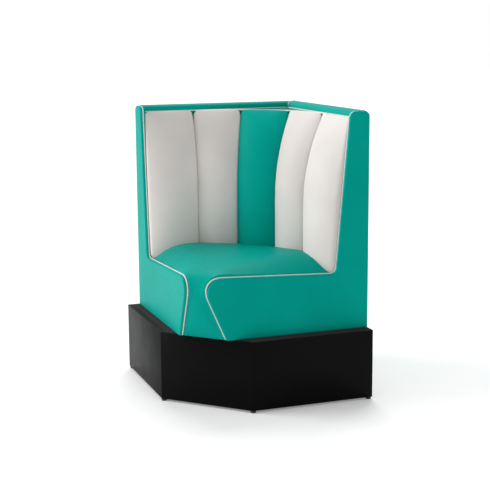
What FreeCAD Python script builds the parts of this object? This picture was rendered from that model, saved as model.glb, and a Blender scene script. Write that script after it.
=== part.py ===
import FreeCAD, Part
import math
import os

os.makedirs("parts", exist_ok=True)

# Corner unit of a diner sofa, in millimetres. It is set out from the corner where its two backs meet:
# U is the distance from the right back, V the distance from the left back, and Z the height above the floor.
# The two halves are mirror images in the upright plane U = V.

# Plinth: a five-sided box of black laminated board
glide_height = 9.0
glide_diameter = 20.0
glide_bevel = 2.0
glide_inset = 11.0
plinth_reach = 732.0
plinth_corner_cut = 262.0
plinth_height = 254.0
plinth_board = 18.0
corner_block = 50.0

# Seat body: it stands back from the plinth's ends by a ledge, and its heights are above the plinth
plinth_ledge = 48.0
body_height = 796.0
end_pad_thickness = 9.0
end_pad_round = 8.0
end_rim_steps = 4
end_board_thickness = 12.0
back_cover = 2.0
back_board = 15.0
base_board = 15.0
deck_board = 18.0
deck_height = 148.0
front_board = 15.0
cleat = 30.0
bolt_diameter = 8.0
bolt_clearance = 1.0
bolt_inset = 100.0
bolt_head_height = 5.5
nut_height = 8.0
hexagon_width = 13.0
nut_clearance = 0.1

# Outline of the end covers: a post that leans back, a seat line and a raked front
post_top_depth = 74.0
post_foot_depth = 126.0
seat_line_back = 210.0
seat_line_front = 231.0
seat_front_set_back = 34.0
front_rake_depth = 101.0
post_back_round = 18.0
post_front_round = 25.0
seat_corner_round = 22.0
seat_front_round = 55.0

# Piping: a cord in a sleeve of cover cloth
piping_diameter = 5.5
piping_gap = 0.2
piping_sides = 8

# Padded rails along the top of the backs, and the shelf in the corner
rail_depth = 61.0
rail_pad_side = 6.0
rail_pad_top = 8.0
rail_back_round = 18.0
rail_front_round = 20.0
shelf_drop = 25.0
shelf_board = 10.0
mitre_piping_tail = 2.0

# Channelled back: one curve round the corner, upright above the seat and rolled back towards the top
channel_angles_low = (11.6, 33.5)
channel_angles_top = (2.6, 30.2)
channel_turn_top = 3.2
back_straight = 206.0
back_lean = 101.0
lean_start = 446.0
channel_bulge = 15.0
channel_bulge_end = 23.0
channel_bulge_top = 5.0
channel_end_proud = 18.0
bent_panel = 6.0
bent_panel_set_back = 8.3
rib_board = 18.0
lean_steps = 10

# Seat pad: crowned in the middle, drawn down at both ends, with a front that runs down to the plinth
crown_back = 53.0
crown_front = 10.0
crown_bow = 13.0
shoulder_reach = 124.0
shoulder_rise = 56.0
front_pad = 30.0
pad_gap = 0.4

# Levels and planes that follow from the sizes above
body_floor = glide_height + plinth_height
deck_top = body_floor + deck_height
deck_under = deck_top - deck_board
shelf_height = body_height - shelf_drop
seat_crown = seat_line_back + crown_back
frame_top = body_floor + shelf_height - shelf_board
shelf_top = body_floor + shelf_height
body_top = body_floor + body_height
diagonal = math.sqrt(2)
plinth_end_depth = plinth_reach - plinth_corner_cut
plinth_diagonal = plinth_reach + plinth_end_depth
body_reach = plinth_reach - plinth_ledge
seat_front_depth = body_reach - seat_front_set_back
front_foot_depth = seat_front_depth - front_rake_depth
end_board_outer = body_reach - end_pad_thickness
end_board_inner = end_board_outer - end_board_thickness
pad_end = end_board_outer - piping_diameter - piping_gap
frame_back = back_cover + back_board
front_rake = front_rake_depth / seat_line_front
channel_top_offset = rail_depth + 2 * (piping_diameter + piping_gap)
panel_front = channel_top_offset - bent_panel_set_back
curve_centre = pad_end - back_straight
back_radius = curve_centre - channel_top_offset


def at(u, v, z):
    return FreeCAD.Vector(u, v, z)


def up(height):
    return at(0, 0, height)


def mirrored(shape):
    return shape.mirror(at(0, 0, 0), at(1, -1, 0))


def corner_arc(before, corner, after, radius):
    """Start, middle and end of the arc that rounds a corner and runs on into both of its sides."""
    to_before = (before - corner).normalize()
    to_after = (after - corner).normalize()
    half_angle = to_before.getAngle(to_after) / 2
    tangent = radius / math.tan(half_angle)
    inward = (to_before + to_after).normalize()
    middle = corner + inward * (radius / math.sin(half_angle) - radius)
    return corner + to_before * tangent, middle, corner + to_after * tangent


def line(start, end):
    return Part.LineSegment(start, end).toShape()


def arc(start, middle, end):
    return Part.Arc(start, middle, end).toShape()


def outline(points, radii, closed=True):
    """Straight runs through the points, with an arc at each corner that has a radius."""
    stops = []
    for index, (corner, radius) in enumerate(zip(points, radii)):
        if radius:
            after = points[(index + 1) % len(points)]
            stops.append(corner_arc(points[index - 1], corner, after, radius))
        else:
            stops.append((corner, None, corner))
    edges = []
    for index, (start, middle, end) in enumerate(stops):
        if closed or index:
            edges.append(line(stops[index - 1][2], start))
        if middle:
            edges.append(arc(start, middle, end))
    return Part.Wire(edges)


def slab(wire, direction):
    return Part.Face(wire).extrude(direction)


def plate(plan, low, high):
    """Flat board cut to a plan of straight sides, between two heights."""
    points = [at(u, v, low) for u, v in plan]
    return slab(Part.makePolygon(points + points[:1]), up(high - low))


def pentagon(near, far, front):
    """Plan of a square corner piece with its front cut off along the line U + V = front."""
    return [(near, near), (far, near), (far, front - far), (front - far, far), (near, far)]


def piping(path):
    """Cord along a path that starts level, drawn with enough flat sides to look round."""
    first = path.OrderedEdges[0]
    start = path.OrderedVertexes[0].Point
    side = first.tangentAt(first.FirstParameter).cross(up(piping_diameter / 2))
    rise = up(piping_diameter / 2)
    turns = [2 * math.pi * index / piping_sides for index in range(piping_sides + 1)]
    ring = Part.makePolygon([start + side * math.cos(turn) + rise * math.sin(turn) for turn in turns])
    return path.makePipe(Part.Face(ring))


def end_outline(v, back=0.0, foot=0.0, sunk=0.0):
    """Outline of the right end: up the back, down the leaning post, along the seat and down the front."""
    points = [
        at(back, v, body_floor + foot),
        at(back, v, body_top - sunk),
        at(post_top_depth, v, body_top - sunk),
        at(post_foot_depth, v, body_floor + seat_line_back),
        at(seat_front_depth, v, body_floor + seat_line_front),
        at(front_foot_depth + front_rake * foot, v, body_floor + foot),
    ]
    radii = [0, post_back_round, post_front_round, seat_corner_round, seat_front_round, 0]
    return points, radii


def front_depth(height):
    """Depth of the raked front from the back of an end, at a height above the plinth."""
    return front_foot_depth + front_rake * height


def front_line(height, behind=0.0):
    """The sum U + V on a plane parallel to the front of the seat, a distance behind its surface."""
    return front_depth(height) + pad_end - behind * diagonal


# Plinth
plinth_corners = pentagon(0.0, plinth_reach, plinth_diagonal)
plinth_inner_front = plinth_diagonal - plinth_board * diagonal
inner_corners = pentagon(plinth_board, plinth_reach - plinth_board, plinth_inner_front)
panel_names = ["plinth_back_left", "plinth_end_left", "plinth_front", "plinth_end_right", "plinth_back_right"]


def towards(start, end):
    return (at(end[0], end[1], 0) - at(start[0], start[1], 0)).normalize()


def corner_sides(corners, index):
    corner = corners[index]
    following = corners[(index + 1) % len(corners)]
    return towards(corner, corners[index - 1]), towards(corner, following)


def glide_centre(index):
    """Place of a glide: on the mitre, at the same inset from both faces of the plinth."""
    to_last, to_next = corner_sides(plinth_corners, index)
    half_angle = to_last.getAngle(to_next) / 2
    corner = plinth_corners[index]
    inward = (to_last + to_next).normalize()
    return at(corner[0], corner[1], 0) + inward * (glide_inset / math.sin(half_angle))


def glide(index):
    """Moulded glide with a bevelled rim, fixed under the mitre of two panels."""
    pad = Part.makeCylinder(glide_diameter / 2, glide_height, glide_centre(index))
    rim = [edge for edge in pad.Edges if edge.BoundBox.ZMax < glide_bevel]
    return pad.makeChamfer(glide_bevel, rim)


def plinth_panel(index):
    following = (index + 1) % len(plinth_corners)
    plan = [plinth_corners[index], plinth_corners[following], inner_corners[following], inner_corners[index]]
    return plate(plan, glide_height, body_floor)


def block(index):
    to_last, to_next = corner_sides(inner_corners, index)
    corner = at(inner_corners[index][0], inner_corners[index][1], 0)
    reach = [at(0, 0, 0), to_last * corner_block, (to_last + to_next) * corner_block, to_next * corner_block]
    plan = [(corner + step) for step in reach]
    return plate([(point.x, point.y) for point in plan], glide_height, body_floor - plinth_board)


bolt_near = frame_back + bolt_inset
bolt_far = end_board_inner - bolt_inset
base_front = front_line(0.0, front_pad + front_board)
bolt_front = base_front / 2 - bolt_inset
bolt_places = [(bolt_near, bolt_near), (bolt_far, bolt_near), (bolt_near, bolt_far), (bolt_front, bolt_front)]
bolt_low = body_floor - plinth_board
bolt_high = body_floor + base_board + nut_height


def bolt_holes():
    radius = (bolt_diameter + bolt_clearance) / 2
    length = plinth_board + base_board
    return Part.makeCompound([Part.makeCylinder(radius, length, at(u, v, bolt_low)) for u, v in bolt_places])


def hexagon(u, v, low, height):
    reach = hexagon_width / math.sqrt(3)
    turns = [math.radians(60 * index) for index in range(6)]
    plan = [(u + reach * math.cos(turn), v + reach * math.sin(turn)) for turn in turns]
    return plate(plan, low, low + height)


def bolt(u, v):
    head = hexagon(u, v, bolt_low - bolt_head_height, bolt_head_height)
    shank = Part.makeCylinder(bolt_diameter / 2, bolt_high - bolt_low, at(u, v, bolt_low))
    return head.fuse(shank).removeSplitter()


def nut(u, v):
    low = body_floor + base_board
    bore = Part.makeCylinder(bolt_diameter / 2 + nut_clearance, nut_height, at(u, v, low))
    return hexagon(u, v, low, nut_height).cut(bore)


parts = {}
for index, name in enumerate(panel_names):
    parts[name] = plinth_panel(index)
parts["glides"] = Part.makeCompound([glide(index) for index in range(len(panel_names))])
parts["plinth_top"] = plate(inner_corners, body_floor - plinth_board, body_floor).cut(bolt_holes())
parts["plinth_corner_blocks"] = Part.makeCompound([block(index) for index in range(len(panel_names))])
parts["plinth_bolts"] = Part.makeCompound([bolt(u, v) for u, v in bolt_places])
parts["plinth_nuts"] = Part.makeCompound([nut(u, v) for u, v in bolt_places])

# Frame of the seat body
base_plan = pentagon(frame_back, end_board_inner, base_front)
parts["base_board"] = plate(base_plan, body_floor, body_floor + base_board).cut(bolt_holes())
deck_front = front_line(deck_height - deck_board, front_pad)
parts["seat_deck"] = plate(pentagon(frame_back, end_board_inner, deck_front), deck_under, deck_top)


def end_board():
    """Right end board: the outline of the end, drawn in so that the piping lies sunk on its edge."""
    seat = piping_diameter / 2
    points, radii = end_outline(end_board_inner, back_cover - seat, -seat, seat)
    wire = outline(points, radii).makeOffset2D(-seat)
    return slab(wire, at(0, end_board_thickness, 0))


def raked_front_board():
    top = deck_height - deck_board
    section = []
    for height, behind in ((0.0, 0.0), (top, 0.0), (top, front_board), (0.0, front_board)):
        middle = front_line(height, front_pad + behind) / 2
        section.append(at(middle, middle, body_floor + height))
    half = at(body_reach, -body_reach, 0)
    strip = slab(Part.makePolygon([point - half for point in section + section[:1]]), half * 2)
    room = [(0, 0), (end_board_inner, 0), (end_board_inner, end_board_inner), (0, end_board_inner)]
    return strip.common(plate(room, body_floor, deck_under))


parts["end_board_right"] = end_board()
parts["end_board_left"] = mirrored(parts["end_board_right"])
parts["front_board"] = raked_front_board()
back_left_plan = [(back_cover, back_cover), (end_board_inner, back_cover)]
back_left_plan += [(end_board_inner, frame_back), (back_cover, frame_back)]
parts["back_board_left"] = plate(back_left_plan, body_floor, frame_top)
back_right_plan = [(back_cover, frame_back), (frame_back, frame_back)]
back_right_plan += [(frame_back, end_board_inner), (back_cover, end_board_inner)]
parts["back_board_right"] = plate(back_right_plan, body_floor, frame_top)


def cleats():
    """Battens under the deck, along the two back boards and the two end boards."""
    inner = frame_back + cleat
    low = deck_under - cleat
    end_front = front_line(low - body_floor, front_pad + front_board) - end_board_inner
    left_back = [(frame_back, frame_back), (end_board_inner, frame_back)]
    left_back += [(end_board_inner, inner), (frame_back, inner)]
    right_back = [(frame_back, inner), (inner, inner)]
    right_back += [(inner, end_board_inner), (frame_back, end_board_inner)]
    right_end = [(inner, end_board_inner - cleat), (end_front, end_board_inner - cleat)]
    right_end += [(end_front, end_board_inner), (inner, end_board_inner)]
    left_end = [(v, u) for u, v in right_end]
    plans = (left_back, right_back, right_end, left_end)
    return Part.makeCompound([plate(plan, low, deck_under) for plan in plans])


parts["deck_cleats"] = cleats()


def corner_curve(offset):
    """Arc that rounds the corner at an offset from both backs, about the centre of the channelled back."""
    middle = curve_centre - (curve_centre - offset) / diagonal
    return arc(at(offset, curve_centre, 0), at(middle, middle, 0), at(curve_centre, offset, 0))


def hollow_curve(offset, far):
    """Line that runs along both backs at an offset and rounds the corner between them."""
    right = line(at(offset, far, 0), at(offset, curve_centre, 0))
    left = line(at(curve_centre, offset, 0), at(far, offset, 0))
    return [right, corner_curve(offset), left]


def curved_board(edges, low, high):
    board = slab(Part.Wire(Part.sortEdges(edges)[0]), up(high - low))
    board.translate(up(low))
    return board


def curved_strip(front, back, low, high):
    """Board between two hollow curves, from one end board to the other."""
    far = end_board_inner
    edges = hollow_curve(front, far) + [line(at(far, front, 0), at(far, back, 0))]
    edges += hollow_curve(back, far) + [line(at(back, far, 0), at(front, far, 0))]
    return curved_board(edges, low, high)


def straight_runs(points):
    return [line(start, end) for start, end in zip(points, points[1:])]


def rib(low):
    """Shelf-like rib with square arms along the back boards and a hollow curve in front."""
    far = end_board_inner
    front = panel_front - bent_panel
    plan = [(far, front), (far, frame_back), (frame_back, frame_back), (frame_back, far), (front, far)]
    square = straight_runs([at(u, v, 0) for u, v in plan])
    return curved_board(hollow_curve(front, far) + square, low, low + rib_board)


rib_lows = (deck_top, (deck_top + frame_top - rib_board) / 2, frame_top - rib_board)
for name, low in zip(("back_rib_lower", "back_rib_middle", "back_rib_upper"), rib_lows):
    parts[name] = rib(low)
parts["bent_back_panel"] = curved_strip(panel_front, panel_front - bent_panel, deck_top, shelf_top)

# Rails along the top of the backs, with the shelf that fills the corner behind the channels
batten_near = rail_pad_side
batten_far = rail_depth - rail_pad_side
batten_top = body_top - rail_pad_top


def mitre(shape, gap):
    """The part of a rail on the right side of the diagonal, half a gap away from it."""
    low = -plinth_reach
    high = 2 * plinth_reach
    shift = gap / 2 * diagonal
    plan = [(low, low + shift), (high, high + shift), (low, high + shift)]
    return shape.common(plate(plan, body_floor, body_top + plinth_height))


def rail_batten():
    plan = [(batten_near, 0), (batten_far, 0), (batten_far, end_board_inner), (batten_near, end_board_inner)]
    return mitre(plate(plan, frame_top, batten_top), 0.0)


def rail_pad():
    """Padded cap over the batten: rounded on top, open below, cut at the mitre for its piping."""
    points = [
        at(0, 0, frame_top),
        at(0, 0, body_top),
        at(rail_depth, 0, body_top),
        at(rail_depth, 0, shelf_top),
        at(batten_far, 0, shelf_top),
        at(batten_far, 0, batten_top),
        at(batten_near, 0, batten_top),
        at(batten_near, 0, frame_top),
    ]
    radii = [0, rail_back_round, rail_front_round, 0, 0, 0, 0, 0]
    cap = slab(outline(points, radii), at(0, pad_end, 0))
    return mitre(cap, piping_diameter + piping_gap).cut(parts["end_board_right"])


def corner_shelf():
    front = panel_front - bent_panel
    plan = [(curve_centre, front), (curve_centre, batten_far), (batten_far, batten_far)]
    plan += [(batten_far, curve_centre), (front, curve_centre)]
    square = straight_runs([at(u, v, 0) for u, v in plan])
    return curved_board([corner_curve(front)] + square, frame_top, shelf_top)


parts["rail_batten_right"] = rail_batten()
parts["rail_batten_left"] = mirrored(parts["rail_batten_right"])
parts["rail_pad_right"] = rail_pad()
parts["rail_pad_left"] = mirrored(parts["rail_pad_right"])
parts["corner_shelf"] = corner_shelf()


# Channelled back
def lean(height):
    """How far the back has rolled back at a height above the plinth, on an arc that starts upright."""
    rise = shelf_height - lean_start
    radius = (back_lean ** 2 + rise ** 2) / (2 * back_lean)
    above = max(0.0, height - lean_start)
    return radius - math.sqrt(radius ** 2 - above ** 2)


def seam_angles(height):
    """Angles of the four seams round the corner, which spread towards the top and turn a little to the left."""
    share = lean(height) / back_lean
    right_side = [low + (top - low) * share for low, top in zip(channel_angles_low, channel_angles_top)]
    left_side = [90.0 - angle for angle in reversed(right_side)]
    return [angle + channel_turn_top * share for angle in right_side + left_side]


def seam_point(height, angle):
    centre = curve_centre + back_lean - lean(height)
    turn = math.radians(angle)
    reach = at(math.cos(turn), math.sin(turn), 0) * back_radius
    return at(centre, centre, body_floor + height) - reach


def seam_back(height, angle):
    """Where the line of a seam, square to the curve, meets the bent panel behind it."""
    shift = back_lean - lean(height)
    turn = math.radians(angle)
    radius = curve_centre - panel_front
    both = math.cos(turn) + math.sin(turn)
    reach = shift * both + math.sqrt((shift * both) ** 2 - 2 * shift ** 2 + radius ** 2)
    centre = curve_centre + shift
    return at(centre - reach * math.cos(turn), centre - reach * math.sin(turn), body_floor + height)


def panel_point(height, first, second):
    """Point on the bent panel halfway round between two points on it."""
    centre = at(curve_centre, curve_centre, body_floor + height)
    outward = ((first - centre) + (second - centre)).normalize()
    return centre + outward * (curve_centre - panel_front)


def post_front(height):
    """Depth of the leaning front edge of an end's post, at a height above the plinth."""
    share = (height - seat_line_back) / (body_height - seat_line_back)
    return post_foot_depth + (post_top_depth - post_foot_depth) * share


def end_point(height):
    """Outer edge of an end channel, which stands proud of the post and comes level with it at the top."""
    proud = channel_end_proud * (1 - lean(height) / back_lean)
    return at(post_front(max(height, seat_crown)) + proud, pad_end, body_floor + height)


def crest(height, first, second, bulge=channel_bulge):
    """Middle of a channel's front, which swells out from the straight line between its seams."""
    share = max(0.0, height - lean_start) / (shelf_height - lean_start)
    swell = bulge + (channel_bulge_top - bulge) * share ** 2
    across = (second - first).normalize()
    forward = at(-across.y, across.x, 0)
    if forward.x + forward.y < 0:
        forward = forward * -1
    return (first + second) * 0.5 + forward * swell


def inner_section(height, first_seam):
    """Cross-section of a channel round the corner, between two neighbouring seams."""
    angles = seam_angles(height)[first_seam:first_seam + 2]
    first, second = (seam_point(height, angle) for angle in angles)
    back_first, back_second = (seam_back(height, angle) for angle in angles)
    return Part.Wire([
        arc(first, crest(height, first, second), second),
        line(second, back_second),
        arc(back_second, panel_point(height, back_first, back_second), back_first),
        line(back_first, first),
    ])


def end_section(height, is_left):
    """Cross-section of the channel beside an end, drawn back to the piping, on the right or mirrored there."""
    angles = seam_angles(height)
    angle = 90.0 - angles[-1] if is_left else angles[0]
    end = end_point(height)
    seam = seam_point(height, angle)
    back_end = at(panel_front, pad_end, end.z)
    front = arc(end, crest(height, end, seam, channel_bulge_end), seam)
    return Part.Wire([front] + straight_runs([seam, seam_back(height, angle), back_end, end]))


def channel(section, place):
    """Upright foot and rolled-back top of a channel, from its cross-section at each height."""
    foot = slab(section(deck_height, place), up(seat_crown - deck_height))
    rise = (shelf_height - lean_start) / lean_steps
    levels = [seat_crown] + [lean_start + rise * index for index in range(lean_steps + 1)]
    rolled = Part.makeLoft([section(height, place) for height in levels], True, True)
    return foot.fuse(rolled)


parts["channel_5_cream"] = channel(end_section, False).cut(parts["end_board_right"])
parts["channel_4_cream"] = channel(inner_section, 0)
parts["channel_3_green"] = channel(inner_section, 1)
parts["channel_2_cream"] = channel(inner_section, 2)
parts["channel_1_cream"] = mirrored(channel(end_section, True).cut(parts["end_board_right"]))


# Seat pad
def middle_point(depth, height):
    """Point on the diagonal that is as far behind the front as a depth along an end."""
    half = (depth + pad_end) / 2
    return at(half, half, body_floor + height)


def seat_block():
    """Section through the middle of the seat, run along the front: apron, soft front edge and crowned top."""
    front_top = at(seat_front_depth, 0, seat_line_front)
    seat_back = at(post_foot_depth, 0, seat_line_back)
    front_foot = at(front_foot_depth, 0, 0)
    top_start, edge_middle, rake_end = corner_arc(seat_back, front_top, front_foot, seat_front_round)
    inside = front_pad * diagonal
    back_depth = 2 * (curve_centre + back_lean) - back_radius * diagonal - pad_end
    foot = middle_point(front_foot_depth, 0)
    rake = middle_point(rake_end.x, rake_end.z)
    edge = middle_point(edge_middle.x, edge_middle.z + crown_front / 2)
    top = middle_point(top_start.x, top_start.z + crown_front)
    back = middle_point(back_depth, seat_crown)
    crown = (top + back) * 0.5 + up(crown_bow)
    hidden_back = at(0, 0, back.z)
    deck_back = at(0, 0, deck_top)
    deck_edge = middle_point(front_depth(deck_height) - inside, deck_height)
    apron_foot = middle_point(front_foot_depth - inside, 0)
    edges = [line(foot, rake), arc(rake, edge, top), arc(top, crown, back), line(back, hidden_back)]
    edges += straight_runs([hidden_back, deck_back, deck_edge, apron_foot, foot])
    half = at(plinth_reach, -plinth_reach, 0)
    block = slab(Part.Wire(edges), half * 2)
    block.translate(half * -1)
    return block


def shoulder():
    """Room under the right shoulder, which brings the seat down to the seat line of the end cover."""
    low = body_floor - plinth_height
    line_back = body_floor + seat_line_back
    high = line_back + shoulder_rise
    radius = (shoulder_reach ** 2 + shoulder_rise ** 2) / (2 * shoulder_rise)
    half_reach = shoulder_reach / 2
    half_rise = shoulder_rise - radius + math.sqrt(radius ** 2 - half_reach ** 2)
    end_low = at(-plinth_reach, pad_end, low)
    end_high = at(-plinth_reach, pad_end, line_back)
    shoulder_middle = end_high + at(0, -half_reach, half_rise)
    shoulder_top = at(-plinth_reach, pad_end - shoulder_reach, high)
    far_high = at(-plinth_reach, -plinth_reach, high)
    far_low = at(-plinth_reach, -plinth_reach, low)
    edges = [arc(end_high, shoulder_middle, shoulder_top)]
    edges += straight_runs([shoulder_top, far_high, far_low, end_low, end_high])
    room = slab(Part.Wire(edges), at(3 * plinth_reach, 0, 0))
    slope = math.atan2(seat_line_front - seat_line_back, seat_front_depth - post_foot_depth)
    room.rotate(at(post_foot_depth, 0, line_back), at(0, 1, 0), -math.degrees(slope))
    return room


def behind_channels():
    """Room that the channels take above the deck, with the gap that the seat pad leaves them."""
    centre = curve_centre + back_lean
    turned = [math.radians(angle) for angle in seam_angles(deck_height)]
    reach = back_radius - pad_gap
    seams = [at(centre - reach * math.cos(turn), centre - reach * math.sin(turn), 0) for turn in turned]
    first = end_point(deck_height) + at(pad_gap, 0, 0)
    first = at(first.x, first.y, 0)
    last = at(first.y, first.x, 0)
    edges = [arc(first, crest(0.0, first, seams[0], channel_bulge_end), seams[0])]
    edges += [arc(start, crest(0.0, start, end), end) for start, end in zip(seams, seams[1:])]
    edges.append(arc(seams[-1], crest(0.0, seams[-1], last, channel_bulge_end), last))
    outside = 2 * plinth_reach
    round_points = [last, at(outside, last.y, 0), at(outside, -outside, 0), at(-outside, -outside, 0)]
    round_points += [at(-outside, outside, 0), at(first.x, outside, 0), first]
    edges += straight_runs(round_points)
    room = slab(Part.Wire(edges), up(body_height))
    room.translate(up(deck_top))
    return room


def seat_pad():
    pad = seat_block().common(shoulder()).common(mirrored(shoulder())).cut(behind_channels())
    return pad.cut(parts["end_board_right"]).cut(parts["end_board_left"])


parts["seat_pad"] = seat_pad()


# Covers and piping
def end_pad():
    """Padded cover of the right end, with a soft rim over the top, down the post and along the seat."""
    points, radii = end_outline(end_board_outer)
    sections = [outline(points, radii)]
    for index in range(end_rim_steps + 1):
        turn = math.radians(90 * index / end_rim_steps)
        drawn_in = end_pad_round * (1 - math.cos(turn))
        points, radii = end_outline(body_reach - end_pad_round * (1 - math.sin(turn)), -drawn_in, -drawn_in)
        sections.append(outline(points, radii).makeOffset2D(-drawn_in) if index else outline(points, radii))
    return Part.makeLoft(sections, True, True)


def end_piping():
    half = piping_diameter / 2
    points, radii = end_outline(pad_end + half + piping_gap / 2, 0.0, half, half)
    start = points[1] + at(post_back_round, 0, 0)
    return piping(outline([start] + points[2:], [0] + radii[2:], False))


def outside_cover(along_from):
    plan = [(0, along_from), (back_cover, along_from), (back_cover, end_board_outer), (0, end_board_outer)]
    return plate(plan, body_floor, frame_top)


piping_level = shelf_top + piping_diameter / 2
rail_piping_offset = rail_depth + piping_diameter / 2


def rail_piping():
    start = at(rail_piping_offset, rail_piping_offset + piping_diameter / 2 + piping_gap, piping_level)
    end = at(rail_piping_offset, end_board_inner, piping_level)
    return piping(Part.Wire(line(start, end)))


def mitre_piping():
    low = shelf_top + piping_diameter + piping_gap
    points = [
        at(rail_back_round, rail_back_round, body_top),
        at(rail_depth, rail_depth, body_top),
        at(rail_depth, rail_depth, low),
    ]
    turn = body_top - low - mitre_piping_tail
    return piping(outline(points, [0, turn, 0], False))


def channel_piping():
    offset = rail_piping_offset + piping_diameter + piping_gap
    curve = Part.Wire(corner_curve(offset))
    curve.translate(up(piping_level))
    return piping(curve)


parts["end_pad_right"] = end_pad()
parts["end_pad_left"] = mirrored(parts["end_pad_right"])
parts["outside_cover_right"] = outside_cover(back_cover)
parts["outside_cover_left"] = mirrored(outside_cover(0.0))
parts["end_piping_right"] = end_piping()
parts["end_piping_left"] = mirrored(parts["end_piping_right"])
parts["rail_piping"] = Part.makeCompound([rail_piping(), mirrored(rail_piping()), mitre_piping()])
parts["channel_piping"] = channel_piping()

# The finished unit stands with +Z up, +X to the right back and +Y to the left back, centred on its plinth
for name, shape in parts.items():
    shape = shape.copy()
    shape.rotate(at(0, 0, 0), at(0, 0, 1), 180)
    shape.translate(at(plinth_reach / 2, plinth_reach / 2, 0))
    shape.exportStep("parts/%s.step" % name)
    print("%-22s solids %d  volume %.0f  valid %s" % (name, len(shape.Solids), shape.Volume, shape.isValid()))
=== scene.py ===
import bpy
import math
from mathutils import Matrix, Vector


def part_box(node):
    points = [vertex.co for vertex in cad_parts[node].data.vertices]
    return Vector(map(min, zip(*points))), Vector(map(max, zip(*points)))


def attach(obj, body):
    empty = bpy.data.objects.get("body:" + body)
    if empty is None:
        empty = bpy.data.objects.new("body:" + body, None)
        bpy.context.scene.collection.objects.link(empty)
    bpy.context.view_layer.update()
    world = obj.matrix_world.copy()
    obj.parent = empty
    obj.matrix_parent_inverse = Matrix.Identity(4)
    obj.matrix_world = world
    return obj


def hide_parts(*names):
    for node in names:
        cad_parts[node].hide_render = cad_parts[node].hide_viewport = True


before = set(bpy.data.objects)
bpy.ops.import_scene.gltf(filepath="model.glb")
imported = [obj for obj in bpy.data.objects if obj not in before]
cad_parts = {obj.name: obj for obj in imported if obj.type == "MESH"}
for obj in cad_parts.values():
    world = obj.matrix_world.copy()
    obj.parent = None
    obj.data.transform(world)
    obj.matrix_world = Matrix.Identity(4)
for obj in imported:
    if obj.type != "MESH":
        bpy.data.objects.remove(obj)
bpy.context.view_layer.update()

# Glides
# Five small black feet, injection moulded from hard plastic with a fine matt texture.
# They are fixed under the mitres of the plinth and lift it clear of the floor.
GLIDE_BLACK = (0.014, 0.014, 0.015, 1.0)
GLIDE_SCUFF_TONE = 1.8
GLIDE_SCUFF_SCALE = 160.0
GLIDE_ROUGHNESS = (0.5, 0.7)
GLIDE_GRAIN_SCALE = 2500.0
GLIDE_GRAIN_STRENGTH = 0.3
FINE_GRAIN_DEPTH = 0.0001


def new_material(name):
    """Empty node material: its tree, its shader and coordinates in metres."""
    material = bpy.data.materials.new(name)
    material.use_nodes = True
    tree = material.node_tree
    shader = tree.nodes["Principled BSDF"]
    place = tree.nodes.new("ShaderNodeTexCoord").outputs["Object"]
    return material, tree, shader, place


def noise(tree, place, scale, detail=3.0):
    texture = tree.nodes.new("ShaderNodeTexNoise")
    texture.inputs["Scale"].default_value = scale
    texture.inputs["Detail"].default_value = detail
    tree.links.new(place, texture.inputs["Vector"])
    return texture.outputs["Fac"]


def spread(tree, value, low, high, start=0.3, end=0.7):
    """Maps the middle part of a pattern to a range of values."""
    ranged = tree.nodes.new("ShaderNodeMapRange")
    ranged.inputs["From Min"].default_value = start
    ranged.inputs["From Max"].default_value = end
    ranged.inputs["To Min"].default_value = low
    ranged.inputs["To Max"].default_value = high
    tree.links.new(value, ranged.inputs["Value"])
    return ranged.outputs["Result"]


def two_tones(tree, value, dark, light, start=0.3, end=0.7):
    """Runs a pattern between two tones of one colour."""
    ramp = tree.nodes.new("ShaderNodeValToRGB")
    ramp.color_ramp.elements[0].position = start
    ramp.color_ramp.elements[0].color = dark
    ramp.color_ramp.elements[1].position = end
    ramp.color_ramp.elements[1].color = light
    tree.links.new(value, ramp.inputs["Fac"])
    return ramp.outputs["Color"]


def relief(tree, shader, height, strength, depth):
    bump = tree.nodes.new("ShaderNodeBump")
    bump.inputs["Strength"].default_value = strength
    bump.inputs["Distance"].default_value = depth
    tree.links.new(height, bump.inputs["Height"])
    tree.links.new(bump.outputs["Normal"], shader.inputs["Normal"])


def shade_of(colour, factor):
    return (colour[0] * factor, colour[1] * factor, colour[2] * factor, 1.0)


def moulded_plastic():
    material, tree, shader, place = new_material("moulded_plastic")
    scuffs = noise(tree, place, GLIDE_SCUFF_SCALE)
    tone = two_tones(tree, scuffs, GLIDE_BLACK, shade_of(GLIDE_BLACK, GLIDE_SCUFF_TONE))
    tree.links.new(tone, shader.inputs["Base Color"])
    tree.links.new(spread(tree, scuffs, *GLIDE_ROUGHNESS), shader.inputs["Roughness"])
    grain = noise(tree, place, GLIDE_GRAIN_SCALE)
    relief(tree, shader, grain, GLIDE_GRAIN_STRENGTH, FINE_GRAIN_DEPTH)
    return material


def finish_node(node, material):
    """Gives a CAD piece that stays in view its finished material."""
    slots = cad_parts[node].data.materials
    slots.clear()
    slots.append(material)


finish_node("glides", moulded_plastic())

# Plinth
# A five-sided box of board faced with black laminate, mitred at the corners, its top board let in flush.
# The laminate is satin with a faint mottle, and its cut edges are eased so that they catch the light. Its
# upward faces are painted paler, a painted reflection of the bright room, and lose their shine.
LAMINATE_BLACK = (0.0025, 0.0025, 0.003, 1.0)
# Painted reflection: the paler colour of the laminate's upward faces.
LAMINATE_UP_PAINTED_REFLECTION = (0.050, 0.047, 0.044, 1.0)
LAMINATE_SHINE = 0.06
LAMINATE_UPWARD = (0.8, 0.95)
LAMINATE_MOTTLE_SCALE = 9.0
LAMINATE_ROUGHNESS = (0.32, 0.42)
LAMINATE_GRAIN_SCALE = 900.0
LAMINATE_GRAIN_STRENGTH = 0.12
PLINTH_EDGE = 0.0008
SAME_POINT = 0.00002
FLAT_ANGLE = math.radians(0.5)
EDGE_ANGLE = math.radians(30)
PLINTH_BOARDS = ("plinth_back_left", "plinth_end_left", "plinth_front", "plinth_end_right",
                 "plinth_back_right", "plinth_top")


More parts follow.
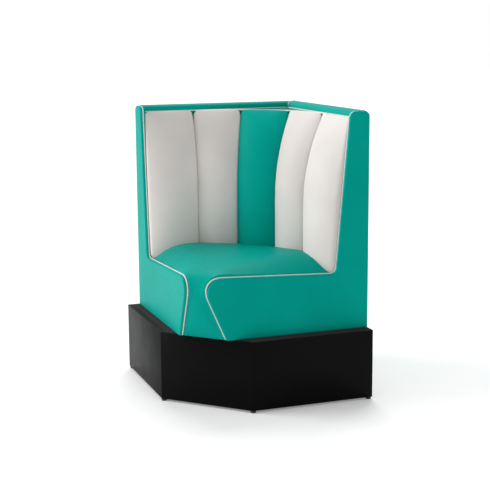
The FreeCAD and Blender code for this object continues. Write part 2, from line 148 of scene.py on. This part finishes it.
def start_from(node, name):
    """New piece that starts as a merged copy of a CAD solid, selected and active."""
    bpy.ops.object.select_all(action="DESELECT")
    piece = bpy.data.objects.new(name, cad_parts[node].data.copy())
    piece.data.materials.clear()
    bpy.context.scene.collection.objects.link(piece)
    bpy.context.view_layer.objects.active = piece
    piece.select_set(True)
    bpy.ops.mesh.customdata_custom_splitnormals_clear()
    bpy.ops.object.mode_set(mode="EDIT")
    bpy.ops.mesh.select_all(action="SELECT")
    bpy.ops.mesh.remove_doubles(threshold=SAME_POINT)
    bpy.ops.object.mode_set(mode="OBJECT")
    return piece


def apply_all(piece):
    for modifier in list(piece.modifiers):
        bpy.ops.object.modifier_apply(modifier=modifier.name)


def finish_piece(piece, material, slot, *nodes):
    """Dresses a piece in its material and puts it in the place of the CAD solids it stands for."""
    piece.data.materials.append(material)
    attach(piece, "root")
    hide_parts(*nodes)


def eased_board(node, name, ease):
    """Board with clean flat faces and its sharp edges eased."""
    piece = start_from(node, name)
    bpy.ops.object.mode_set(mode="EDIT")
    bpy.ops.mesh.select_all(action="SELECT")
    bpy.ops.mesh.dissolve_limited(angle_limit=FLAT_ANGLE)
    bpy.ops.object.mode_set(mode="OBJECT")
    bevel = piece.modifiers.new("eased_edges", "BEVEL")
    bevel.width = ease
    bevel.segments = 2
    bevel.limit_method = "ANGLE"
    bevel.angle_limit = EDGE_ANGLE
    apply_all(piece)
    bpy.ops.object.shade_smooth_by_angle(angle=EDGE_ANGLE)
    return piece


def black_laminate():
    """Satin laminate, with a painted reflection where it faces up: a paler colour there, and no shine."""
    material, tree, shader, place = new_material("black_laminate")
    facing = tree.nodes.new("ShaderNodeSeparateXYZ")
    tree.links.new(tree.nodes["Texture Coordinate"].outputs["Normal"], facing.inputs["Vector"])
    upward = facing.outputs["Z"]
    # Upward faces are painted paler, as a painted reflection of the bright room.
    tone = two_tones(tree, upward, LAMINATE_BLACK, LAMINATE_UP_PAINTED_REFLECTION, *LAMINATE_UPWARD)
    tree.links.new(tone, shader.inputs["Base Color"])
    mottle = noise(tree, place, LAMINATE_MOTTLE_SCALE, detail=5.0)
    tree.links.new(spread(tree, mottle, *LAMINATE_ROUGHNESS), shader.inputs["Roughness"])
    shine = spread(tree, upward, LAMINATE_SHINE, 0.0, *LAMINATE_UPWARD)
    tree.links.new(shine, shader.inputs["Specular IOR Level"])
    grain = noise(tree, place, LAMINATE_GRAIN_SCALE, detail=4.0)
    relief(tree, shader, grain, LAMINATE_GRAIN_STRENGTH, FINE_GRAIN_DEPTH)
    return material


laminate = black_laminate()
for board in PLINTH_BOARDS:
    panel = eased_board(board, board.replace("plinth", "laminate"), PLINTH_EDGE)
    finish_piece(panel, laminate, "black_laminate", board)

# Frame
# Boards and battens of birch plywood and pine, glued and screwed.
# All of it is covered, apart from the corner blocks, which show inside the plinth from below.
PLYWOOD_PALE = (0.62, 0.46, 0.29, 1.0)
PLYWOOD_DARK_TONE = 0.72
PLYWOOD_STRETCH = (1.0, 1.0, 0.12)
PLYWOOD_GRAIN_SCALE = 140.0
PLYWOOD_ROUGHNESS = (0.55, 0.75)
PLYWOOD_GRAIN_STRENGTH = 0.2
PLYWOOD_GRAIN_DEPTH = 0.0003
FRAME_BOARDS = ("plinth_corner_blocks", "base_board", "seat_deck", "front_board", "deck_cleats",
                "back_board_left", "back_board_right", "back_rib_lower", "back_rib_middle",
                "back_rib_upper", "rail_batten_left", "rail_batten_right")


def plywood():
    material, tree, shader, place = new_material("plywood")
    stretch = tree.nodes.new("ShaderNodeMapping")
    stretch.inputs["Scale"].default_value = PLYWOOD_STRETCH
    tree.links.new(place, stretch.inputs["Vector"])
    grain = noise(tree, stretch.outputs["Vector"], PLYWOOD_GRAIN_SCALE, detail=6.0)
    tone = two_tones(tree, grain, shade_of(PLYWOOD_PALE, PLYWOOD_DARK_TONE), PLYWOOD_PALE)
    tree.links.new(tone, shader.inputs["Base Color"])
    tree.links.new(spread(tree, grain, *PLYWOOD_ROUGHNESS), shader.inputs["Roughness"])
    relief(tree, shader, grain, PLYWOOD_GRAIN_STRENGTH, PLYWOOD_GRAIN_DEPTH)
    return material


birch = plywood()
for board in FRAME_BOARDS:
    finish_node(board, birch)

# Bolts and nuts
# Hexagon bolts that come up through the plinth's top board and hold the seat body down, with their nuts.
# They are steel with a thin zinc plating, a little cloudy.
ZINC_GREY = (0.55, 0.56, 0.58, 1.0)
ZINC_DARK_TONE = 0.8
ZINC_CLOUD_SCALE = 260.0
ZINC_ROUGHNESS = (0.28, 0.45)
ZINC_GRAIN_SCALE = 1400.0
ZINC_GRAIN_STRENGTH = 0.1


def zinc_steel():
    material, tree, shader, place = new_material("zinc_steel")
    cloud = noise(tree, place, ZINC_CLOUD_SCALE, detail=4.0)
    tone = two_tones(tree, cloud, shade_of(ZINC_GREY, ZINC_DARK_TONE), ZINC_GREY)
    tree.links.new(tone, shader.inputs["Base Color"])
    shader.inputs["Metallic"].default_value = 1.0
    tree.links.new(spread(tree, cloud, *ZINC_ROUGHNESS), shader.inputs["Roughness"])
    grain = noise(tree, place, ZINC_GRAIN_SCALE)
    relief(tree, shader, grain, ZINC_GRAIN_STRENGTH, FINE_GRAIN_DEPTH)
    return material


zinc = zinc_steel()
finish_node("plinth_bolts", zinc)
finish_node("plinth_nuts", zinc)

# Seat pad
# A block of foam under one cover of green upholstery vinyl, crowned in the middle and drawn down at both
# ends. The cover runs over the soft front edge and down to the plinth, where it is stapled under the base
# board, and its back edge runs on under the channels.
VINYL_GREEN = (0.0, 0.330, 0.272, 1.0)
GREEN_GLINT = (0.20, 1.0, 0.95, 1.0)
VINYL_SHINE = 0.06
VINYL_DRIFT_SCALE = 5.0
VINYL_DARK_TONE = 0.94
VINYL_LIGHT_TONE = 1.05
VINYL_RUB_SCALE = 60.0
VINYL_ROUGHNESS = (0.40, 0.48)
VINYL_PEBBLE_SCALE = 800.0
VINYL_PEBBLE_STRENGTH = 0.12
VINYL_PEBBLE_DEPTH = 0.0002
SEAT_PASSES = ((0.003, 16), (0.006, 2))
SEAT_PRESS = 0.0025
SEAT_EVEN = 160
SEAT_SLACK = 0.001
SEAT_SWELL = 0.005
SEAT_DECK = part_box("seat_deck")[1].z
SEAT_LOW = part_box("seat_pad")[0]
SEAT_HEM = 0.008
SIDE_FACING = 0.35
BACK_FACING = -0.2
UPRIGHT_FACING = 0.5
SEAT_TUCK = 0.022
SEAT_EDGE_START = 0.03
SEAT_EDGE_RUN = 0.12
SEAT_EDGE_LEAST = 0.12
COVER_SMOOTHING = 0.5
COVER_FREE_BELOW = 0.5
COVER_QUALITY = 2
COVER_PRESSURE = 110.0
COVER_FRAMES = 12
FRONT = Vector((-1.0, -1.0, 0.0)).normalized()
UP = Vector((0.0, 0.0, 1.0))


def vinyl(name, colour, glint):
    """Upholstery vinyl: a slight drift of tone, a satin shine with its own tint, a pebbled grain."""
    material, tree, shader, place = new_material(name)
    drift = noise(tree, place, VINYL_DRIFT_SCALE, detail=2.0)
    dark = shade_of(colour, VINYL_DARK_TONE)
    light = shade_of(colour, VINYL_LIGHT_TONE)
    tree.links.new(two_tones(tree, drift, dark, light), shader.inputs["Base Color"])
    rub = noise(tree, place, VINYL_RUB_SCALE)
    tree.links.new(spread(tree, rub, *VINYL_ROUGHNESS), shader.inputs["Roughness"])
    shader.inputs["Specular IOR Level"].default_value = VINYL_SHINE
    shader.inputs["Specular Tint"].default_value = glint
    pebbles = tree.nodes.new("ShaderNodeTexVoronoi")
    pebbles.inputs["Scale"].default_value = VINYL_PEBBLE_SCALE
    tree.links.new(place, pebbles.inputs["Vector"])
    relief(tree, shader, pebbles.outputs["Distance"], VINYL_PEBBLE_STRENGTH, VINYL_PEBBLE_DEPTH)
    return material


def push_faces(piece, is_chosen, amount):
    """Moves the chosen faces out along their own normals."""
    bpy.ops.object.mode_set(mode="EDIT")
    bpy.ops.mesh.select_mode(type="FACE")
    bpy.ops.mesh.select_all(action="DESELECT")
    bpy.ops.object.mode_set(mode="OBJECT")
    for face in piece.data.polygons:
        face.select = is_chosen(face)
    bpy.ops.object.mode_set(mode="EDIT")
    bpy.ops.transform.shrink_fatten(value=amount)
    bpy.ops.mesh.select_mode(type="VERT")
    bpy.ops.object.mode_set(mode="OBJECT")


def smooth_out(piece, rounds, group=""):
    """Smooths a piece, by the weights of a group of its points where one is named."""
    smooth = piece.modifiers.new("smooth", "SMOOTH")
    smooth.factor = COVER_SMOOTHING
    smooth.iterations = rounds
    smooth.vertex_group = group
    apply_all(piece)


def even_mesh(piece, passes):
    """Gives a piece an even mesh and round edges, in passes of voxel size and smoothing rounds."""
    for voxel, rounds in passes:
        piece.data.remesh_voxel_size = voxel
        bpy.ops.object.voxel_remesh()
        smooth_out(piece, rounds)


def press_out(amount):
    """Moves all points of the active piece out along their normals."""
    bpy.ops.object.mode_set(mode="EDIT")
    bpy.ops.mesh.select_all(action="SELECT")
    bpy.ops.transform.shrink_fatten(value=amount)
    bpy.ops.object.mode_set(mode="OBJECT")


def part_cover(piece, hold, evenness):
    """Groups of the cover's points: held along seams, free to swell, and to be evened out."""
    free = piece.vertex_groups.new(name="free")
    held = piece.vertex_groups.new(name="held")
    even = piece.vertex_groups.new(name="even")
    for vertex in piece.data.vertices:
        grip = hold(vertex)
        held.add([vertex.index], grip, "REPLACE")
        even.add([vertex.index], evenness(vertex), "REPLACE")
        if grip < COVER_FREE_BELOW:
            free.add([vertex.index], 1.0, "REPLACE")


def draw_in(piece, slack):
    """Draws the free part of the cover in, so that it has room to swell."""
    bpy.ops.object.mode_set(mode="EDIT")
    bpy.ops.mesh.select_all(action="DESELECT")
    piece.vertex_groups.active = piece.vertex_groups["free"]
    bpy.ops.object.vertex_group_select()
    bpy.ops.transform.shrink_fatten(value=-slack)
    bpy.ops.object.mode_set(mode="OBJECT")


def swell(piece, most):
    """Blows the cover up by cloth simulation, and lets no point move further than the most."""
    before = [vertex.co.copy() for vertex in piece.data.vertices]
    cloth = piece.modifiers.new("cover", "CLOTH")
    cloth.settings.quality = COVER_QUALITY
    cloth.settings.use_pressure = True
    cloth.settings.uniform_pressure_force = COVER_PRESSURE
    cloth.settings.vertex_group_mass = "held"
    cloth.settings.effector_weights.gravity = 0.0
    cloth.collision_settings.use_collision = False
    cloth.point_cache.frame_start = 1
    cloth.point_cache.frame_end = COVER_FRAMES
    for step in range(1, COVER_FRAMES + 1):
        bpy.context.scene.frame_set(step)
    bpy.ops.object.modifier_apply(modifier=cloth.name)
    bpy.context.scene.frame_set(1)
    for vertex, start in zip(piece.data.vertices, before):
        move = vertex.co - start
        if move.length > most:
            vertex.co = start + move.normalized() * most


def stuffed(piece, passes, press, even, slack, most, hold, evenness):
    """Foam pad in its cover: pressed on its neighbours, held at its seams, blown up between them."""
    even_mesh(piece, passes)
    press_out(press)
    part_cover(piece, hold, evenness)
    smooth_out(piece, even, "even")
    draw_in(piece, slack)
    swell(piece, most)
    smooth_out(piece, even // 2, "even")
    finer = piece.modifiers.new("finer", "SUBSURF")
    finer.levels = 1
    finer.render_levels = 1
    apply_all(piece)
    piece.vertex_groups.clear()
    bpy.ops.object.shade_smooth()


def is_seat_back(face):
    """The upright back of the seat above its deck, where the channels stand."""
    is_behind = face.normal.dot(FRONT) < BACK_FACING and face.center.z > SEAT_DECK
    return is_behind and abs(face.normal.z) < UPRIGHT_FACING


green = vinyl("green_vinyl", VINYL_GREEN, GREEN_GLINT)
seat = start_from("seat_pad", "seat_cushion")
seat_nose = max(vertex.co.dot(FRONT) for vertex in seat.data.vertices)
push_faces(seat, is_seat_back, SEAT_TUCK)


def seat_hold(vertex):
    """The top and the front swell, but not the hem along the end boards."""
    is_hem = min(vertex.co.x - SEAT_LOW.x, vertex.co.y - SEAT_LOW.y) < SEAT_HEM
    is_side = max(vertex.normal.dot(UP), vertex.normal.dot(FRONT)) < SIDE_FACING
    return 1.0 if is_hem or is_side else 0.0


def seat_evenness(vertex):
    """The top is evened out fully, and less and less towards the front edge."""
    behind = seat_nose - vertex.co.dot(FRONT)
    share = min(1.0, max(SEAT_EDGE_LEAST, (behind - SEAT_EDGE_START) / SEAT_EDGE_RUN))
    return (1.0 - seat_hold(vertex)) * share


stuffed(seat, SEAT_PASSES, press=SEAT_PRESS, even=SEAT_EVEN, slack=SEAT_SLACK, most=SEAT_SWELL,
        hold=seat_hold, evenness=seat_evenness)
finish_piece(seat, green, "green_vinyl", "seat_pad")

# Channelled back
# Five upright rolls of foam, each in its own strip of vinyl, sewn together along deep seams round the
# corner. The middle one is green and the others are warm off-white.
VINYL_CREAM = (0.68, 0.645, 0.62, 1.0)
PLAIN_GLINT = (1.0, 1.0, 1.0, 1.0)
CHANNEL_PASSES = ((0.003, 70), (0.006, 2))
CHANNEL_PRESS = 0.0015
CHANNEL_EVEN = 12
CHANNEL_SLACK = 0.003
CHANNEL_SWELL = 0.020
CHANNEL_HEAD = 0.006
HEAD_WITHIN = 0.001
SEAM_START = 0.75
SEAM_RUN = 0.4
CHANNELS = ("channel_1_cream", "channel_2_cream", "channel_3_green", "channel_4_cream",
            "channel_5_cream")


def choose_points(piece, is_chosen):
    """Selects only the chosen points of the active piece, and leaves it in edit mode."""
    bpy.ops.object.mode_set(mode="EDIT")
    bpy.ops.mesh.select_all(action="DESELECT")
    bpy.ops.object.mode_set(mode="OBJECT")
    for vertex in piece.data.vertices:
        vertex.select = is_chosen(vertex)
    bpy.ops.object.mode_set(mode="EDIT")


def raise_head(roll, head):
    """Lifts the top of a roll, so that it meets its piping."""
    choose_points(roll, lambda vertex: vertex.co.z > head - HEAD_WITHIN)
    bpy.ops.transform.translate(value=(0.0, 0.0, CHANNEL_HEAD))
    bpy.ops.object.mode_set(mode="OBJECT")


def seam_hold(outward):
    """Hold on a roll's cover: none in front, and more and more towards the seams at its sides."""
    def hold(vertex):
        return min(1.0, max(0.0, (SEAM_START - vertex.normal.dot(outward)) / SEAM_RUN))
    return hold


cream = vinyl("cream_vinyl", VINYL_CREAM, PLAIN_GLINT)
for order, channel in enumerate(CHANNELS):
    around = math.radians(90.0 * order / (len(CHANNELS) - 1))
    outward = Vector((-math.sin(around), -math.cos(around), 0.0))
    roll = start_from(channel, channel.replace("channel", "roll"))
    raise_head(roll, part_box(channel)[1].z)
    stuffed(roll, CHANNEL_PASSES, press=CHANNEL_PRESS, even=CHANNEL_EVEN, slack=CHANNEL_SLACK,
            most=CHANNEL_SWELL, hold=seam_hold(outward), evenness=lambda vertex: 1.0)
    if channel.endswith("green"):
        finish_piece(roll, green, "green_vinyl", channel)
    else:
        finish_piece(roll, cream, "cream_vinyl", channel)

# End covers
# L-shaped end boards with a thin layer of foam under green vinyl, pulled tight round a soft rim.
# The vinyl wraps the edge of the board and is stapled inside, and the piping closes the joint.
END_PASSES = ((0.003, 3),)
SIDES = ("right", "left")

for side in SIDES:
    cover = start_from("end_pad_" + side, "end_cover_" + side)
    even_mesh(cover, END_PASSES)
    bpy.ops.object.shade_smooth()
    finish_piece(cover, green, "green_vinyl", "end_pad_" + side)
    finish_node("end_board_" + side, green)

# Top rails
# Padded caps along the tops of both backs: a batten under foam and green vinyl, mitred in the corner.
# The vinyl is stapled behind, under the outside cover.
RAIL_PASSES = ((0.003, 6),)
RAIL_FOAM = 0.0016

for side in SIDES:
    cap = start_from("rail_pad_" + side, "rail_cap_" + side)
    even_mesh(cap, RAIL_PASSES)
    press_out(RAIL_FOAM)
    bpy.ops.object.shade_smooth()
    finish_piece(cap, green, "green_vinyl", "rail_pad_" + side)

# Corner shelf
# The wedge of board that closes the corner between the rails and the channels, in green vinyl with
# painted shade: a darker green.
# The vinyl is pulled over the top edge of the bent panel behind the channels.
# Painted shade: the green vinyl darkened for the shaded corner, also used on the bent panel.
VINYL_GREEN_PAINTED_SHADE = (0.0, 0.22, 0.185, 1.0)
SHELF_EDGE = 0.0015

shelf = eased_board("corner_shelf", "shelf_wedge", SHELF_EDGE)
green_painted_shade = vinyl("dark_green_vinyl", VINYL_GREEN_PAINTED_SHADE, GREEN_GLINT)
finish_piece(shelf, green_painted_shade, "dark_green_vinyl", "corner_shelf")
# The bent panel shows only in the gaps between the rolls, and its darker green is painted shade there.
finish_node("bent_back_panel", green_painted_shade)

# Outside covers
# Plain sheets of green vinyl over the two outer backs.
# They are back-tacked under the rails and stapled at the foot.
SHEET_EDGE = 0.0006

for side in SIDES:
    sheet = eased_board("outside_cover_" + side, "outside_vinyl_" + side, SHEET_EDGE)
    finish_piece(sheet, green, "green_vinyl", "outside_cover_" + side)

# Piping
# A thin cord in a sleeve of white vinyl, sewn into the joints: round each end cover, under the rails,
# over their mitre and along the tops of the channels. Depths are from the outer back, heights of the
# seat line from the foot of the end covers.
VINYL_WHITE = (0.66, 0.70, 0.66, 1.0)
PIPING_RADIUS = 0.0025
PIPING_ROUNDNESS = 4
PIPING_SHADE_ANGLE = math.radians(50)
CORNER_STEPS = 10
ARC_STEPS = 48
SEED_SIZE = 0.01
AT_POINT = 0.0001
ARC_SAME_POINT = 0.00001
POST_TOP_DEPTH = 0.074
POST_FOOT_DEPTH = 0.126
SEAT_FRONT_DEPTH = 0.650
FRONT_FOOT_DEPTH = 0.549
SEAT_LINE_BACK = 0.210
SEAT_LINE_FRONT = 0.231
POST_BACK_ROUND = 0.018
END_ROUNDS = (0.0, 0.025, 0.022, 0.055, 0.0)
MITRE_MARGIN = 0.002


def path_from(name, point):
    """New piece with a single point, in edit mode."""
    bpy.ops.object.select_all(action="DESELECT")
    bpy.ops.mesh.primitive_plane_add(size=SEED_SIZE)
    path = bpy.context.object
    path.name = name
    bpy.ops.object.mode_set(mode="EDIT")
    bpy.ops.mesh.select_all(action="SELECT")
    bpy.ops.mesh.merge(type="CENTER")
    bpy.ops.transform.translate(value=point)
    return path


def path_through(name, points, rounds=()):
    """Line of edges through the points, with each inner corner rounded to its radius."""
    path = path_from(name, points[0])
    for start, end in zip(points, points[1:]):
        bpy.ops.mesh.extrude_vertices_move(TRANSFORM_OT_translate={"value": end - start})
    for index in range(len(points) - 2, 0, -1):
        corner = points[index]
        to_last = (points[index - 1] - corner).normalized()
        to_next = (points[index + 1] - corner).normalized()
        tangent = rounds[index] / math.tan(to_last.angle(to_next) / 2)
        choose_points(path, lambda vertex: (vertex.co - corner).length < AT_POINT)
        bpy.ops.mesh.bevel(affect="VERTICES", offset=tangent, segments=CORNER_STEPS)
    bpy.ops.object.mode_set(mode="OBJECT")
    return path


def cord_on(path):
    """Turns a line of edges into a round cord with closed ends."""
    bpy.ops.object.select_all(action="DESELECT")
    bpy.context.view_layer.objects.active = path
    path.select_set(True)
    bpy.ops.object.transform_apply(location=True, rotation=True, scale=True)
    bpy.ops.object.convert(target="CURVE")
    path.data.bevel_depth = PIPING_RADIUS
    path.data.bevel_resolution = PIPING_ROUNDNESS
    path.data.use_fill_caps = True
    bpy.ops.object.convert(target="MESH")
    bpy.ops.object.shade_smooth_by_angle(angle=PIPING_SHADE_ANGLE)
    return bpy.context.object


def mirrored(points):
    """The same points on the other side of the corner."""
    return [Vector((point.y, point.x, point.z)) for point in points]


white = vinyl("white_vinyl", VINYL_WHITE, PLAIN_GLINT)
end_low, end_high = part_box("end_pad_right")
back_plane = end_high.x
foot = end_low.z
top = end_high.z
piping_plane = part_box("end_piping_right")[0].y + PIPING_RADIUS
front_slope = (SEAT_FRONT_DEPTH - FRONT_FOOT_DEPTH) / SEAT_LINE_FRONT
end_foot_depth = FRONT_FOOT_DEPTH + front_slope * PIPING_RADIUS
right_points = [
    Vector((back_plane - POST_BACK_ROUND, piping_plane, top - PIPING_RADIUS)),
    Vector((back_plane - POST_TOP_DEPTH, piping_plane, top - PIPING_RADIUS)),
    Vector((back_plane - POST_FOOT_DEPTH, piping_plane, foot + SEAT_LINE_BACK)),
    Vector((back_plane - SEAT_FRONT_DEPTH, piping_plane, foot + SEAT_LINE_FRONT)),
    Vector((back_plane - end_foot_depth, piping_plane, foot + PIPING_RADIUS)),
]
for side, end_points in zip(SIDES, (right_points, mirrored(right_points))):
    end_cord = cord_on(path_through("end_cord_" + side, end_points, END_ROUNDS))
    finish_piece(end_cord, white, "white_piping", "end_piping_" + side)

rail_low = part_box("rail_pad_right")[0]
rail_front = rail_low.x - PIPING_RADIUS
rail_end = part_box("rail_piping")[0].x
arc_low, arc_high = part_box("channel_piping")
cord_level = arc_low.z + PIPING_RADIUS
rail_points = [
    Vector((rail_front, rail_front, cord_level)),
    Vector((rail_front, rail_end, cord_level)),
]
right_cord = cord_on(path_through("rail_cord", rail_points))
left_cord = cord_on(path_through("rail_cord_left", mirrored(rail_points)))
mitre_back = back_plane - PIPING_RADIUS
mitre_low = cord_level + 2 * PIPING_RADIUS
mitre_rounds = (0.0, POST_BACK_ROUND, top - mitre_low - MITRE_MARGIN, 0.0)
mitre_points = [
    Vector((mitre_back, mitre_back, rail_low.z)),
    Vector((mitre_back, mitre_back, top)),
    Vector((rail_low.x, rail_low.x, top)),
    Vector((rail_low.x, rail_low.x, mitre_low)),
]
mitre_cord = cord_on(path_through("mitre_cord", mitre_points, mitre_rounds))
bpy.ops.object.select_all(action="DESELECT")
for cord in (left_cord, mitre_cord, right_cord):
    cord.select_set(True)
bpy.context.view_layer.objects.active = right_cord
bpy.ops.object.join()
finish_piece(right_cord, white, "white_piping", "rail_piping")

arc_centre = Vector((arc_low.x, arc_low.y, cord_level))
arc_path = path_from("channel_cord", Vector((arc_high.x - PIPING_RADIUS, arc_low.y, cord_level)))
bpy.ops.mesh.select_all(action="SELECT")
bpy.ops.mesh.spin(steps=ARC_STEPS, angle=math.radians(-90), center=arc_centre, axis=UP)
bpy.ops.mesh.select_all(action="SELECT")
bpy.ops.mesh.remove_doubles(threshold=ARC_SAME_POINT)
bpy.ops.object.mode_set(mode="OBJECT")
channel_cord = cord_on(arc_path)
finish_piece(channel_cord, white, "white_piping", "channel_piping")

# Studio
# A white floor that runs out of sight, soft light all round and broad lights from the left, the front
# and behind. The camera stands well back and looks down a little.
WHITE = (1.0, 1.0, 1.0, 1.0)
FLOOR_SIZE = 60.0
FLOOR_WHITE = (0.86, 0.86, 0.86, 1.0)
FLOOR_ROUGHNESS = 0.9
FLOOR_LIFT = 0.20
ROOM_LIGHT = 0.50
ROOM_SEEN = 1.0
SUNS = {
    "side_light": (Vector((-1.0, 0.45, 0.42)), 2.4, 40.0),
    "front_light": (Vector((0.50, -1.0, 0.30)), 0.35, 50.0),
    "back_light": (Vector((0.35, 1.0, 1.50)), 1.5, 35.0),
}
CAMERA_PLACE = Vector((-1.507, -4.142, 1.345))
CAMERA_TURN = 20.03
CAMERA_TILT = 10.32
CAMERA_ROLL = -0.40
CAMERA_LENS = 86.67

bpy.ops.object.select_all(action="DESELECT")
bpy.ops.mesh.primitive_plane_add(size=FLOOR_SIZE)
floor = bpy.context.object
floor.name = "floor"
floor_paint, floor_tree, floor_shader, _ = new_material("floor_white")
floor_shader.inputs["Base Color"].default_value = FLOOR_WHITE
floor_shader.inputs["Roughness"].default_value = FLOOR_ROUGHNESS
floor_shader.inputs["Emission Color"].default_value = WHITE
floor_rays = floor_tree.nodes.new("ShaderNodeLightPath")
floor_lift = spread(floor_tree, floor_rays.outputs["Is Camera Ray"], 0.0, FLOOR_LIFT, 0.0, 1.0)
floor_tree.links.new(floor_lift, floor_shader.inputs["Emission Strength"])
floor.data.materials.append(floor_paint)

room = bpy.data.worlds.new("room")
bpy.context.scene.world = room
room.use_nodes = True
room_tree = room.node_tree
background = room_tree.nodes["Background"]
background.inputs["Color"].default_value = WHITE
room_rays = room_tree.nodes.new("ShaderNodeLightPath")
room_light = spread(room_tree, room_rays.outputs["Is Camera Ray"], ROOM_LIGHT, ROOM_SEEN, 0.0, 1.0)
room_tree.links.new(room_light, background.inputs["Strength"])

for light, (origin, strength, breadth) in SUNS.items():
    bpy.ops.object.light_add(type="SUN", rotation=origin.to_track_quat("Z", "Y").to_euler())
    sun = bpy.context.object
    sun.name = light
    sun.data.energy = strength
    sun.data.angle = math.radians(breadth)

turn = Matrix.Rotation(math.radians(-CAMERA_TURN), 3, "Z")
tilt = Matrix.Rotation(math.radians(90.0 - CAMERA_TILT), 3, "X")
lean = Matrix.Rotation(math.radians(CAMERA_ROLL), 3, "Z")
bpy.ops.object.camera_add(location=CAMERA_PLACE, rotation=(turn @ tilt @ lean).to_euler())
camera = bpy.context.object
camera.data.lens = CAMERA_LENS
bpy.context.scene.camera = camera
bpy.context.scene.view_settings.view_transform = "Standard"
